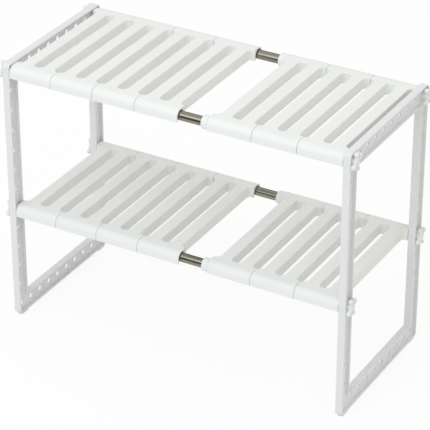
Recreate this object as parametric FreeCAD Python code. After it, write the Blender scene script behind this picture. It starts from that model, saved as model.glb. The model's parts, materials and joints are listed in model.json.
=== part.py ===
import FreeCAD, Part
import math
import os

# Expandable two-tier under sink organizer. Millimetres, +Z up, +X along the shelves, front at -Y.
# The origin is on the floor, under the middle of the object at the width that it is set to.

# End frames
frame_height = 390.0
frame_depth = 226.0
frame_thick = 10.2
post_depth = 20.2
rail_height = 25.0
web_thick = 2.5
flange_thick = 2.4
frame_corner_radius = 6.0
window_corner_radius = 3.0
channel_corner_radius = 2.0
frame_edge_radius = 0.6
web_hole_radius = 4.1
post_hole_pitch = 30.0
post_hole_count = 11
rail_hole_count = 10
holes_between_tiers = 7

# Feet
foot_lift = 3.0
foot_length = 17.0
foot_width = 8.5
foot_inset = 4.0
foot_corner_radius = 2.5
foot_edge_radius = 0.8
foot_peg_radius = 1.8

# Telescoping rails
inner_tube_radius = 6.5
inner_tube_wall = 0.8
outer_tube_radius = 7.5
outer_tube_wall = 0.7
collar_length = 8.8
collar_lip = 2.0
collar_radius = 9.2
collar_edge_radius = 0.7
guide_length = 9.0
guide_spigot = 8.0
plug_spigot = 15.0

# Panels
left_panels = 4
right_panels = 3
panel_width = 63.6
panel_top_thick = 2.0
sleeve_wall = 2.0
sleeve_skirt = 6.5
slot_width = 15.0
slot_corner_radius = 7.0
slot_wall = 1.5
slot_wall_drop = 5.4
slot_edge_radius = 0.8
slat_rib_thick = 1.4
slat_rib_drop = 4.4
slat_rib_places_share = (-0.5, 0.0, 0.5)
seat_rib_thick = 2.0
seat_rib_setback = 9.0

# Hand knobs
knob_wings_degrees = (90.0, 270.0)
knob_lobe_spread_degrees = 34.0
knob_lean_degrees = {"upper_front": 27.0, "upper_rear": 5.0, "lower_front": 16.0, "lower_rear": 17.0}
knob_hub_radius = 6.0
knob_hub_thick = 5.6
knob_lobe_radius = 3.5
knob_lobe_circle = 9.9
knob_arm_width = 4.4
knob_arm_thick = 4.2
knob_dome_radius = 4.6
knob_dome_height = 1.5
knob_edge_radius = 1.0
knob_boss_radius = 5.8
shank_radius = 3.7
shank_length = 18.0

# Fits
tube_show = 34.0
end_gap = 0.6
seam_gap = 0.6
seat_gap = 0.3
press_gap = 0.05
running_gap = 0.08
knob_gap = 0.4
plug_nose_gap = 0.4
slot_end_land = 0.2
overrun = 1.0

# Places worked out from the sizes above
AXIS_X = FreeCAD.Vector(1, 0, 0)
rail_y = (frame_depth - post_depth) / 2
upper_z = frame_height - rail_height / 2
lower_z = upper_z - holes_between_tiers * post_hole_pitch
channel_deep = (frame_thick - web_thick) / 2
left_group = left_panels * panel_width + (left_panels - 1) * seam_gap
right_group = right_panels * panel_width + (right_panels - 1) * seam_gap
pipe_gap = tube_show + collar_length + seam_gap
overall_width = 2 * (frame_thick + end_gap) + left_group + pipe_gap + right_group
left_face = -overall_width / 2
right_face = overall_width / 2
left_inner = left_face + frame_thick
right_inner = right_face - frame_thick
left_group_end = left_inner + end_gap + left_group
collar_mouth = left_group_end + tube_show
right_group_start = collar_mouth + collar_length + seam_gap
inner_tube_bore = inner_tube_radius - inner_tube_wall
outer_tube_bore = outer_tube_radius - outer_tube_wall
saddle_radius = outer_tube_radius + seat_gap
sleeve_radius = saddle_radius + sleeve_wall
slot_reach = rail_y - sleeve_radius - slot_end_land
shank_bore = shank_radius + running_gap
plug_nose_radius = post_depth / 2 - flange_thick - plug_nose_gap
guide_end = right_inner - plug_spigot - tube_show
inner_tube_end = guide_end - guide_length

tiers = {"upper": upper_z, "lower": lower_z}
sides = {"front": -rail_y, "rear": rail_y}


def rod(radius, start, end, y, z):
    """A round bar along X."""
    return Part.makeCylinder(radius, end - start, FreeCAD.Vector(start, y, z), AXIS_X)


def pipe(radius, bore, start, end, y, z):
    """A round tube along X."""
    hole = rod(bore, start - overrun, end + overrun, y, z)
    return rod(radius, start, end, y, z).cut(hole)


def block(x_low, x_high, y_low, y_high, z_low, z_high):
    """A box given by its limits."""
    corner = FreeCAD.Vector(x_low, y_low, z_low)
    return Part.makeBox(x_high - x_low, y_high - y_low, z_high - z_low, corner)


def edges_along(shape, axis):
    """The straight edges of a shape that run along one axis: 0, 1 or 2 for X, Y or Z."""
    found = []
    for edge in shape.Edges:
        box = edge.BoundBox
        spans = [box.XLength, box.YLength, box.ZLength]
        along = spans.pop(axis)
        if along > max(spans):
            found.append(edge)
    return found


def edges_on_plane(shape, place, axis):
    """The edges of a shape that lie wholly on the plane where X, Y or Z equals place."""
    found = []
    for edge in shape.Edges:
        box = edge.BoundBox
        low = (box.XMin, box.YMin, box.ZMin)[axis]
        high = (box.XMax, box.YMax, box.ZMax)[axis]
        if abs(low - place) + abs(high - place) < running_gap:
            found.append(edge)
    return found


def rounded_plate(x_low, x_high, y_half, z_low, z_high, radius):
    """A plate square to X with rounded corners."""
    plate = block(x_low, x_high, -y_half, y_half, z_low, z_high)
    return plate.makeFillet(radius, edges_along(plate, 0))


def end_frame(face):
    """A hoop of H section: a perforated web between an outer and an inner flange."""
    back = face + frame_thick
    half = frame_depth / 2
    window_half = half - post_depth
    window_low = foot_lift + rail_height
    window_high = frame_height - rail_height
    hoop = rounded_plate(face, back, half, foot_lift, frame_height, frame_corner_radius)
    window = rounded_plate(face - overrun, back + overrun, window_half, window_low, window_high,
                           window_corner_radius)
    hoop = hoop.cut(window)
    rims = edges_on_plane(hoop, face, 0) + edges_on_plane(hoop, back, 0)
    hoop = hoop.makeFillet(frame_edge_radius, rims)
    for low, high in ((face - overrun, face + channel_deep), (back - channel_deep, back + overrun)):
        channel = rounded_plate(low, high, half - flange_thick, foot_lift + flange_thick,
                                frame_height - flange_thick, channel_corner_radius)
        island = rounded_plate(low - overrun, high + overrun, window_half + flange_thick,
                               window_low - flange_thick, window_high + flange_thick,
                               window_corner_radius + flange_thick)
        hoop = hoop.cut(channel.cut(island))
    holes = []
    rail_pitch = 2 * rail_y / (rail_hole_count - 1)
    for z in (foot_lift + rail_height / 2, upper_z):
        for number in range(rail_hole_count):
            y = -rail_y + number * rail_pitch
            holes.append(rod(web_hole_radius, face - overrun, back + overrun, y, z))
    for y in sides.values():
        for number in range(1, post_hole_count + 1):
            z = upper_z - number * post_hole_pitch
            holes.append(rod(web_hole_radius, face - overrun, back + overrun, y, z))
        holes.append(foot_peg(face + frame_thick / 2, y, foot_peg_radius + press_gap))
    return hoop.cut(holes)


def foot_place(y):
    """The middle of a foot along Y, set in from the frame's front or rear."""
    reach = frame_depth / 2 - foot_inset - foot_length / 2
    return math.copysign(reach, y)


def foot_peg(x, y, radius):
    """The peg that holds a foot in the frame's bottom flange."""
    base = FreeCAD.Vector(x, foot_place(y), foot_lift)
    return Part.makeCylinder(radius, flange_thick, base)


def feet(face):
    """The front and rear foot pads of one end frame."""
    middle = face + frame_thick / 2
    pads = []
    for y in sides.values():
        place = foot_place(y)
        pad = block(middle - foot_width / 2, middle + foot_width / 2,
                    place - foot_length / 2, place + foot_length / 2, 0, foot_lift)
        pad = pad.makeFillet(foot_corner_radius, edges_along(pad, 2))
        pad = pad.makeFillet(foot_edge_radius, edges_on_plane(pad, 0, 2))
        pads.append(pad.fuse(foot_peg(middle, y, foot_peg_radius)))
    return Part.makeCompound(pads)


def collar(y, z):
    """A moulded ring on the mouth of the outer tube, with a lip that guides the inner tube."""
    end = collar_mouth + collar_length
    ring = rod(collar_radius, collar_mouth, end, y, z)
    ring = ring.makeFillet(collar_edge_radius, edges_on_plane(ring, collar_mouth, 0))
    ring = ring.cut(rod(inner_tube_radius + running_gap, collar_mouth - overrun, end, y, z))
    seat = rod(outer_tube_radius + press_gap, collar_mouth + collar_lip, end + overrun, y, z)
    return ring.cut(seat)


def guide(y, z):
    """A bush in the far end of the inner tube that runs in the outer tube."""
    start = inner_tube_end
    bush = rod(outer_tube_bore - running_gap, start, start + guide_length, y, z)
    return bush.fuse(rod(inner_tube_bore - press_gap, start - guide_spigot, start, y, z))


def plug(inner, inward, bore, y, z):
    """A tube's end plug: a nose in the frame's channel and a spigot in the tube, with the screw's bore."""
    web = inner - inward * channel_deep
    tip = inner + inward * plug_spigot
    nose = rod(plug_nose_radius, min(web, inner), max(web, inner), y, z)
    spigot = rod(bore - press_gap, min(inner, tip), max(inner, tip), y, z)
    low = min(web, tip) - overrun
    high = max(web, tip) + overrun
    return nose.fuse(spigot).cut(rod(shank_bore, low, high, y, z))


def knob(face, inward, lean, y, z):
    """A hand screw with two wings of two ball lobes: head outside the frame, shank into the tube's plug."""
    back = face - inward * knob_gap
    front = back - inward * knob_hub_thick
    middle = back - inward * knob_lobe_radius
    web = face + inward * channel_deep
    hub = rod(knob_hub_radius, min(back, front), max(back, front), y, z)
    hub = hub.makeFillet(knob_edge_radius, edges_on_plane(hub, front, 0))
    centre = FreeCAD.Vector(0, y, z)
    spread = knob_lobe_spread_degrees
    lobes = []
    for turn in [wing - lean + side for wing in knob_wings_degrees for side in (-spread, spread)]:
        arm = block(middle - knob_arm_thick / 2, middle + knob_arm_thick / 2, y, y + knob_lobe_circle,
                    z - knob_arm_width / 2, z + knob_arm_width / 2)
        lobe = arm.fuse(Part.makeSphere(knob_lobe_radius, FreeCAD.Vector(middle, y + knob_lobe_circle, z)))
        lobe.rotate(centre, AXIS_X, turn)
        lobes.append(lobe)
    ball_radius = (knob_dome_radius ** 2 + knob_dome_height ** 2) / (2 * knob_dome_height)
    ball_place = front + inward * (ball_radius - knob_dome_height)
    ball = Part.makeSphere(ball_radius, FreeCAD.Vector(ball_place, y, z))
    tip = front - inward * (knob_dome_height + overrun)
    inside = front + inward * knob_edge_radius
    dome = ball.common(rod(knob_dome_radius, min(inside, tip), max(inside, tip), y, z))
    boss = rod(knob_boss_radius, min(back, web), max(back, web), y, z)
    end = web + inward * shank_length
    shank = rod(shank_radius, min(web, end), max(web, end), y, z)
    return hub.fuse(lobes + [dome, boss, shank])


def slot_prism(x, margin, z_low, z_high):
    """A slot's upright bar along Y with rounded corners, or the larger bar of the wall around it."""
    half = slot_width / 2 + margin
    reach = slot_reach + margin
    bar = block(x - half, x + half, -reach, reach, z_low, z_high)
    return bar.makeFillet(slot_corner_radius + margin, edges_along(bar, 2))


def panel_section(x, z):
    """The panel's outline square to X: a flat top that ends in a saddle over each rail."""
    top = z + sleeve_radius
    under = top - panel_top_thick
    foot = z - sleeve_skirt
    bend = math.sqrt(0.5)

    def saddle(sign):
        axis = sign * rail_y
        points = {}
        for name, radius in (("outer", sleeve_radius), ("inner", saddle_radius)):
            points[name] = {
                "out": FreeCAD.Vector(x, axis + sign * radius, z),
                "mid": FreeCAD.Vector(x, axis + sign * radius * bend, z + radius * bend),
                "top": FreeCAD.Vector(x, axis, z + radius),
                "back": FreeCAD.Vector(x, axis - sign * radius * bend, z + radius * bend),
                "in": FreeCAD.Vector(x, axis - sign * radius, z),
                "out_foot": FreeCAD.Vector(x, axis + sign * radius, foot),
                "in_foot": FreeCAD.Vector(x, axis - sign * radius, foot),
            }
        points["under"] = FreeCAD.Vector(x, axis - sign * sleeve_radius, under)
        return points

    def side(points):
        outer = points["outer"]
        inner = points["inner"]
        return [
            Part.Arc(outer["top"], outer["mid"], outer["out"]).toShape(),
            Part.makeLine(outer["out"], outer["out_foot"]),
            Part.makeLine(outer["out_foot"], inner["out_foot"]),
            Part.makeLine(inner["out_foot"], inner["out"]),
            Part.Arc(inner["out"], inner["mid"], inner["top"]).toShape(),
            Part.Arc(inner["top"], inner["back"], inner["in"]).toShape(),
            Part.makeLine(inner["in"], inner["in_foot"]),
            Part.makeLine(inner["in_foot"], outer["in_foot"]),
            Part.makeLine(outer["in_foot"], points["under"]),
        ]

    front = saddle(-1)
    rear = saddle(1)
    edges = side(front) + side(rear)
    edges.append(Part.makeLine(front["outer"]["top"], rear["outer"]["top"]))
    edges.append(Part.makeLine(front["under"], rear["under"]))
    return Part.Face(Part.Wire(Part.__sortEdges__(edges)))


def seat_ribs(start, tube_radius, z):
    """Half rings in the saddles that seat a panel on the thinner tube."""
    ribs = []
    places = (start + seat_rib_setback, start + panel_width - seat_rib_setback - seat_rib_thick)
    for y in sides.values():
        for x in places:
            ring = pipe(saddle_radius + sleeve_wall / 2, tube_radius + seat_gap, x, x + seat_rib_thick, y, z)
            upper_half = block(x, x + seat_rib_thick, y - sleeve_radius, y + sleeve_radius,
                               z, z + sleeve_radius)
            ribs.append(ring.common(upper_half))
    return ribs


def panel(start, tube_radius, z):
    """A shelf panel: two hollow slats, a slot between them and half a slot along each side."""
    end = start + panel_width
    top = z + sleeve_radius
    wall_foot = z - slot_wall_drop
    body = panel_section(start, z).extrude(FreeCAD.Vector(panel_width, 0, 0))
    extent = block(start, end, -rail_y - sleeve_radius, rail_y + sleeve_radius, z - sleeve_skirt, top)
    middles = (start, start + panel_width / 2, end)
    walls = [slot_prism(x, slot_wall, wall_foot, top) for x in middles]
    ribs = []
    for share in slat_rib_places_share:
        y = share * slot_reach
        ribs.append(block(start, end, y - slat_rib_thick / 2, y + slat_rib_thick / 2,
                          wall_foot + slat_rib_drop, top))
    body = body.fuse([wall.common(extent) for wall in walls] + ribs)
    cuts = [slot_prism(x, 0, z - sleeve_skirt - overrun, top + overrun) for x in middles]
    body = body.cut(cuts).removeSplitter()
    rim = []
    for edge in edges_on_plane(body, top, 2):
        box = edge.BoundBox
        if max(abs(box.YMin), abs(box.YMax)) < slot_reach + slot_edge_radius:
            rim.append(edge)
    body = body.makeFillet(slot_edge_radius, rim)
    if tube_radius + seat_gap < saddle_radius:
        body = body.fuse(seat_ribs(start, tube_radius, z))
    return body


def build():
    """Every piece of the organizer, by name."""
    nodes = {
        "left_frame": end_frame(left_face),
        "right_frame": end_frame(right_inner),
        "left_feet": feet(left_face),
        "right_feet": feet(right_inner),
    }
    for tier, z in tiers.items():
        for side, y in sides.items():
            place = tier + "_" + side
            nodes[place + "_inner_tube"] = pipe(inner_tube_radius, inner_tube_bore,
                                                left_inner, inner_tube_end, y, z)
            nodes[place + "_outer_tube"] = pipe(outer_tube_radius, outer_tube_bore,
                                                collar_mouth + collar_lip, right_inner, y, z)
            nodes[place + "_collar"] = collar(y, z)
            nodes[place + "_guide_bush"] = guide(y, z)
            nodes[place + "_left_plug"] = plug(left_inner, 1, inner_tube_bore, y, z)
            nodes[place + "_right_plug"] = plug(right_inner, -1, outer_tube_bore, y, z)
            lean = knob_lean_degrees[place]
            nodes[place + "_left_knob"] = knob(left_face, 1, lean, y, z)
            nodes[place + "_right_knob"] = knob(right_face, -1, lean, y, z)
        pitch = panel_width + seam_gap
        for number in range(left_panels):
            start = left_inner + end_gap + number * pitch
            nodes[tier + "_panel_" + str(number + 1)] = panel(start, inner_tube_radius, z)
        for number in range(right_panels):
            start = right_group_start + number * pitch
            name = tier + "_panel_" + str(left_panels + number + 1)
            nodes[name] = panel(start, outer_tube_radius, z)
    return nodes


os.makedirs("parts", exist_ok=True)
for name, shape in build().items():
    shape.exportStep("parts/" + name + ".step")
    print(name, len(shape.Solids), shape.isValid(), round(shape.Volume))
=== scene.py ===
import json
import math

import bpy
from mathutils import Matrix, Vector

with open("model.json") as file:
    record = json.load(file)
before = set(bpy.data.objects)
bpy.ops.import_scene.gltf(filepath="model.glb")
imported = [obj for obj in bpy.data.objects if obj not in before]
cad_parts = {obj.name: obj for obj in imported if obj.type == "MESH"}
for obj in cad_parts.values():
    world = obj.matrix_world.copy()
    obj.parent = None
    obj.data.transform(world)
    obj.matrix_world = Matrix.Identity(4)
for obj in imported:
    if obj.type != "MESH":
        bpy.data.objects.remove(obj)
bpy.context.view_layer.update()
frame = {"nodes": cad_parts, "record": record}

# Camera at the photograph's viewing angle: degrees, metres, and millimetres for lens and sensor
CAMERA_AZIMUTH = 29.68
CAMERA_ELEVATION = 29.84
CAMERA_TARGET = Vector((0.0053, -0.0058, 0.1816))
CAMERA_DISTANCE = 3.005
CAMERA_LENS = 186.6
CAMERA_SENSOR = 36.0

# Light: an even warm surround and one large cool lamp in front
WORLD_LIGHT = 0.845
WORLD_COLOUR = (1.0, 0.995, 0.948, 1)
KEY_PLACE = (-0.30, -1.75, 2.07)
KEY_AIM = (0.0, 0.0, 0.2)
KEY_SIZE = 1.8
KEY_POWER = 17.5
KEY_COLOUR = (0.70, 0.84, 1.0)

# Stage, in metres
WHITE = (1, 1, 1, 1)
FLOOR_HALF = 6.0
FLOOR_COLOUR = (0.82, 0.82, 0.81, 1)
FLOOR_WHITENING = 0.87
# Painted reflection: a ring of dim glowing cards that only polished surfaces see, which paints a dark
# band into the steel tubes
PAINTED_REFLECTION_RADIUS = 1.05
PAINTED_REFLECTION_TOP = 0.76
PAINTED_REFLECTION_SIDES = 48
PAINTED_REFLECTION_COLOUR = (0.22, 0.20, 0.17, 1)

# Moulded plastic: scales in cycles per metre, heights in metres
CLOUD_SCALE = 9.0
CLOUD_DETAIL = 3.0
SATIN_SCALE = 60.0
SATIN_DETAIL = 4.0
SATIN_SMOOTHER = 0.06
SATIN_ROUGHER = 0.08
WAVE_SCALE = 26.0
WAVE_DETAIL = 2.0
WAVE_HEIGHT = 0.0006
WAVE_STRENGTH = 0.12
GRAIN_SCALE = 1400.0
GRAIN_DETAIL = 2.0
GRAIN_HEIGHT = 0.00003
GRAIN_STRENGTH = 0.5
PLASTIC_SPECULAR = 0.42

# Drawn steel: the same units, with patterns drawn out along the tubes
DRAW_SCALE = 900.0
DRAW_DETAIL = 3.0
DRAW_STRETCH = (0.02, 1.0, 1.0)
DRAW_HEIGHT = 0.00001
DRAW_STRENGTH = 0.35
HAZE_SCALE = 45.0
HAZE_DETAIL = 3.0
HAZE_STRETCH = (0.3, 1.0, 1.0)
HAZE_SMOOTHER = 0.03
HAZE_ROUGHER = 0.05

# Values of a pattern between which one colour blends into the other
BLEND_START = 0.3
BLEND_END = 0.7

# Each material slot's pale colour, dim colour and roughness
PLASTICS = {
    "frame_plastic": ((0.835, 0.83, 0.85, 1), (0.815, 0.81, 0.825, 1), 0.42),
    "panel_plastic": ((0.895, 0.895, 0.88, 1), (0.875, 0.875, 0.857, 1), 0.45),
    "collar_plastic": ((0.88, 0.88, 0.88, 1), (0.86, 0.86, 0.86, 1), 0.38),
    "knob_plastic": ((0.87, 0.87, 0.87, 1), (0.85, 0.85, 0.85, 1), 0.30),
    "foot_plastic": ((0.82, 0.82, 0.82, 1), (0.79, 0.79, 0.79, 1), 0.55),
    "plug_plastic": ((0.82, 0.82, 0.82, 1), (0.79, 0.79, 0.79, 1), 0.50),
}
STEELS = {
    "inner_steel": ((0.29, 0.272, 0.215, 1), (0.25, 0.235, 0.182, 1), 0.12),
    "outer_steel": ((0.29, 0.272, 0.215, 1), (0.25, 0.235, 0.182, 1), 0.18),
}

# Faces that meet at less than this angle shade as one round surface
SMOOTH_ANGLE = math.radians(32.0)


def new_material(name):
    """A material with a Principled shader, and its nodes and links."""
    material = bpy.data.materials.new(name)
    material.use_nodes = True
    nodes = material.node_tree.nodes
    return material, nodes, material.node_tree.links, nodes["Principled BSDF"]


def noise(nodes, links, coordinates, scale, detail, stretch=(1.0, 1.0, 1.0)):
    """A noise pattern fixed to the object, with scale in cycles per metre."""
    mapping = nodes.new("ShaderNodeMapping")
    mapping.inputs["Scale"].default_value = stretch
    pattern = nodes.new("ShaderNodeTexNoise")
    pattern.inputs["Scale"].default_value = scale
    pattern.inputs["Detail"].default_value = detail
    links.new(coordinates, mapping.inputs["Vector"])
    links.new(mapping.outputs["Vector"], pattern.inputs["Vector"])
    return pattern.outputs["Fac"]


def ramp(nodes, links, value, low, high):
    """A blend from one colour to another as value rises."""
    node = nodes.new("ShaderNodeValToRGB")
    node.color_ramp.elements[0].position = BLEND_START
    node.color_ramp.elements[0].color = low
    node.color_ramp.elements[1].position = BLEND_END
    node.color_ramp.elements[1].color = high
    links.new(value, node.inputs["Fac"])
    return node.outputs["Color"]


def spread(nodes, links, value, low, high):
    """Value from 0..1 mapped to low..high."""
    node = nodes.new("ShaderNodeMapRange")
    node.inputs["To Min"].default_value = low
    node.inputs["To Max"].default_value = high
    links.new(value, node.inputs["Value"])
    return node.outputs["Result"]


def bump(nodes, links, height, distance, strength, before=None):
    """A bump, in metres, on top of another one if there is one before it."""
    node = nodes.new("ShaderNodeBump")
    node.inputs["Distance"].default_value = distance
    node.inputs["Strength"].default_value = strength
    links.new(height, node.inputs["Height"])
    if before is not None:
        links.new(before, node.inputs["Normal"])
    return node.outputs["Normal"]


def moulded_plastic(name, pale, dim, roughness):
    """White injection moulding: clouded tone, flow waviness and a fine satin grain."""
    material, nodes, links, shader = new_material(name)
    place = nodes.new("ShaderNodeTexCoord").outputs["Object"]
    cloud = noise(nodes, links, place, CLOUD_SCALE, CLOUD_DETAIL)
    links.new(ramp(nodes, links, cloud, dim, pale), shader.inputs["Base Color"])
    satin = noise(nodes, links, place, SATIN_SCALE, SATIN_DETAIL)
    sheen = spread(nodes, links, satin, roughness - SATIN_SMOOTHER, roughness + SATIN_ROUGHER)
    links.new(sheen, shader.inputs["Roughness"])
    waves = noise(nodes, links, place, WAVE_SCALE, WAVE_DETAIL)
    wavy = bump(nodes, links, waves, WAVE_HEIGHT, WAVE_STRENGTH)
    grain = noise(nodes, links, place, GRAIN_SCALE, GRAIN_DETAIL)
    grainy = bump(nodes, links, grain, GRAIN_HEIGHT, GRAIN_STRENGTH, wavy)
    links.new(grainy, shader.inputs["Normal"])
    shader.inputs["Specular IOR Level"].default_value = PLASTIC_SPECULAR
    return material


def drawn_steel(name, pale, dim, roughness):
    """Polished stainless tube: long fine draw lines along the tube."""
    material, nodes, links, shader = new_material(name)
    place = nodes.new("ShaderNodeTexCoord").outputs["Object"]
    lines = noise(nodes, links, place, DRAW_SCALE, DRAW_DETAIL, DRAW_STRETCH)
    links.new(ramp(nodes, links, lines, dim, pale), shader.inputs["Base Color"])
    haze = noise(nodes, links, place, HAZE_SCALE, HAZE_DETAIL, HAZE_STRETCH)
    sheen = spread(nodes, links, haze, roughness - HAZE_SMOOTHER, roughness + HAZE_ROUGHER)
    links.new(sheen, shader.inputs["Roughness"])
    links.new(bump(nodes, links, lines, DRAW_HEIGHT, DRAW_STRENGTH), shader.inputs["Normal"])
    shader.inputs["Metallic"].default_value = 1.0
    return material


def finishes():
    """The finish of every material slot of the record."""
    made = {slot: moulded_plastic(slot, *values) for slot, values in PLASTICS.items()}
    made.update({slot: drawn_steel(slot, *values) for slot, values in STEELS.items()})
    return made


def smooth(obj):
    """Round faces shade as round, and edges sharper than the smoothing angle stay sharp."""
    mesh = obj.data
    mesh.polygons.foreach_set("use_smooth", [True] * len(mesh.polygons))
    mesh.set_sharp_from_angle(angle=SMOOTH_ANGLE)


def dress_nodes():
    """Every CAD node gets the finish of its material slot."""
    finish = finishes()
    for row in frame["record"]["subparts"]:
        obj = frame["nodes"][row["node"]]
        obj.data.materials.clear()
        obj.data.materials.append(finish[row["material_slot"]])
        smooth(obj)


def add_object(name, data):
    """A new object in the scene."""
    obj = bpy.data.objects.new(name, data)
    bpy.context.scene.collection.objects.link(obj)
    return obj


def seen_directly(nodes, links):
    """One for camera, glossy and transmission rays, and zero for the rays that light things."""
    path = nodes.new("ShaderNodeLightPath")
    either = nodes.new("ShaderNodeMath")
    either.operation = "MAXIMUM"
    links.new(path.outputs["Is Camera Ray"], either.inputs[0])
    links.new(path.outputs["Is Glossy Ray"], either.inputs[1])
    any_of_them = nodes.new("ShaderNodeMath")
    any_of_them.operation = "MAXIMUM"
    links.new(either.outputs[0], any_of_them.inputs[0])
    links.new(path.outputs["Is Transmission Ray"], any_of_them.inputs[1])
    return any_of_them.outputs[0]


def bare_material(name):
    """A material with nothing but its output, and its nodes and links."""
    material = bpy.data.materials.new(name)
    material.use_nodes = True
    nodes = material.node_tree.nodes
    nodes.clear()
    return material, nodes, material.node_tree.links, nodes.new("ShaderNodeOutputMaterial")


def make_floor():
    """A white floor that takes the object's soft shadow."""
    mesh = bpy.data.meshes.new("floor")
    corners = [(x * FLOOR_HALF, y * FLOOR_HALF, 0.0) for x, y in ((-1, -1), (1, -1), (1, 1), (-1, 1))]
    mesh.from_pydata(corners, [], [(0, 1, 2, 3)])
    floor = add_object("floor", mesh)
    material, nodes, links, out = bare_material("floor_white")
    bounce = nodes.new("ShaderNodeBsdfDiffuse")
    bounce.inputs["Color"].default_value = FLOOR_COLOUR
    shaded = nodes.new("ShaderNodeBsdfDiffuse")
    shaded.inputs["Color"].default_value = WHITE
    white = nodes.new("ShaderNodeEmission")
    shown = nodes.new("ShaderNodeMixShader")
    shown.inputs["Fac"].default_value = FLOOR_WHITENING
    links.new(shaded.outputs[0], shown.inputs[1])
    links.new(white.outputs[0], shown.inputs[2])
    choice = nodes.new("ShaderNodeMixShader")
    links.new(seen_directly(nodes, links), choice.inputs["Fac"])
    links.new(bounce.outputs[0], choice.inputs[1])
    links.new(shown.outputs[0], choice.inputs[2])
    links.new(choice.outputs[0], out.inputs["Surface"])
    mesh.materials.append(material)


def make_painted_reflection():
    """A ring of dim glowing cards around the object, which only polished surfaces mirror: a painted dark
    reflection band on the steel tubes, lighting nothing and casting no shadow.
    """
    turns = [i * math.tau / PAINTED_REFLECTION_SIDES for i in range(PAINTED_REFLECTION_SIDES)]
    points = []
    for height in (0.0, PAINTED_REFLECTION_TOP):
        points += [(math.cos(turn) * PAINTED_REFLECTION_RADIUS, math.sin(turn) * PAINTED_REFLECTION_RADIUS, height) for turn in turns]
    faces = []
    for i in range(PAINTED_REFLECTION_SIDES):
        after = (i + 1) % PAINTED_REFLECTION_SIDES
        faces.append((i, after, PAINTED_REFLECTION_SIDES + after, PAINTED_REFLECTION_SIDES + i))
    mesh = bpy.data.meshes.new("painted_reflection_cards")
    mesh.from_pydata(points, [], faces)
    painted_reflection_ring = add_object("painted_reflection_cards", mesh)
    material, nodes, links, out = bare_material("painted_reflection_dark")
    dark = nodes.new("ShaderNodeEmission")
    dark.inputs["Color"].default_value = PAINTED_REFLECTION_COLOUR
    links.new(dark.outputs[0], out.inputs["Surface"])
    mesh.materials.append(material)
    painted_reflection_ring.visible_camera = False
    painted_reflection_ring.visible_diffuse = False
    painted_reflection_ring.visible_shadow = False
    painted_reflection_ring.visible_transmission = False


def make_world():
    """An even pale surround for light, and white where it is seen."""
    world = bpy.data.worlds.new("studio")
    bpy.context.scene.world = world
    world.use_nodes = True
    nodes = world.node_tree.nodes
    links = world.node_tree.links
    nodes.clear()
    out = nodes.new("ShaderNodeOutputWorld")
    light = nodes.new("ShaderNodeBackground")
    light.inputs["Color"].default_value = WORLD_COLOUR
    light.inputs["Strength"].default_value = WORLD_LIGHT
    white = nodes.new("ShaderNodeBackground")
    white.inputs["Color"].default_value = WHITE
    choice = nodes.new("ShaderNodeMixShader")
    links.new(seen_directly(nodes, links), choice.inputs["Fac"])
    links.new(light.outputs[0], choice.inputs[1])
    links.new(white.outputs[0], choice.inputs[2])
    links.new(choice.outputs[0], out.inputs["Surface"])


def make_key():
    """A large square studio lamp in front."""
    lamp = bpy.data.lights.new("key", "AREA")
    lamp.shape = "SQUARE"
    lamp.size = KEY_SIZE
    lamp.energy = KEY_POWER
    lamp.color = KEY_COLOUR
    key = add_object("key", lamp)
    key.location = KEY_PLACE
    key.rotation_mode = "QUATERNION"
    key.rotation_quaternion = (Vector(KEY_AIM) - Vector(KEY_PLACE)).to_track_quat("-Z", "Y")


def make_camera():
    """The photograph's camera: a long lens from the front right, looking down."""
    azimuth = math.radians(CAMERA_AZIMUTH)
    elevation = math.radians(CAMERA_ELEVATION)
    back = Vector((math.sin(azimuth) * math.cos(elevation),
                   -math.cos(azimuth) * math.cos(elevation),
                   math.sin(elevation)))
    lens = bpy.data.cameras.new("camera")
    lens.sensor_width = CAMERA_SENSOR
    lens.lens = CAMERA_LENS
    camera = add_object("camera", lens)
    camera.location = CAMERA_TARGET + back * CAMERA_DISTANCE
    camera.rotation_mode = "QUATERNION"
    camera.rotation_quaternion = (-back).to_track_quat("-Z", "Y")
    bpy.context.scene.camera = camera


dress_nodes()
make_floor()
# Painted reflection: dim cards seen only in the steel, for the dark band on the tubes
make_painted_reflection()
make_world()
make_key()
make_camera()
bpy.context.scene.view_settings.view_transform = "Standard"
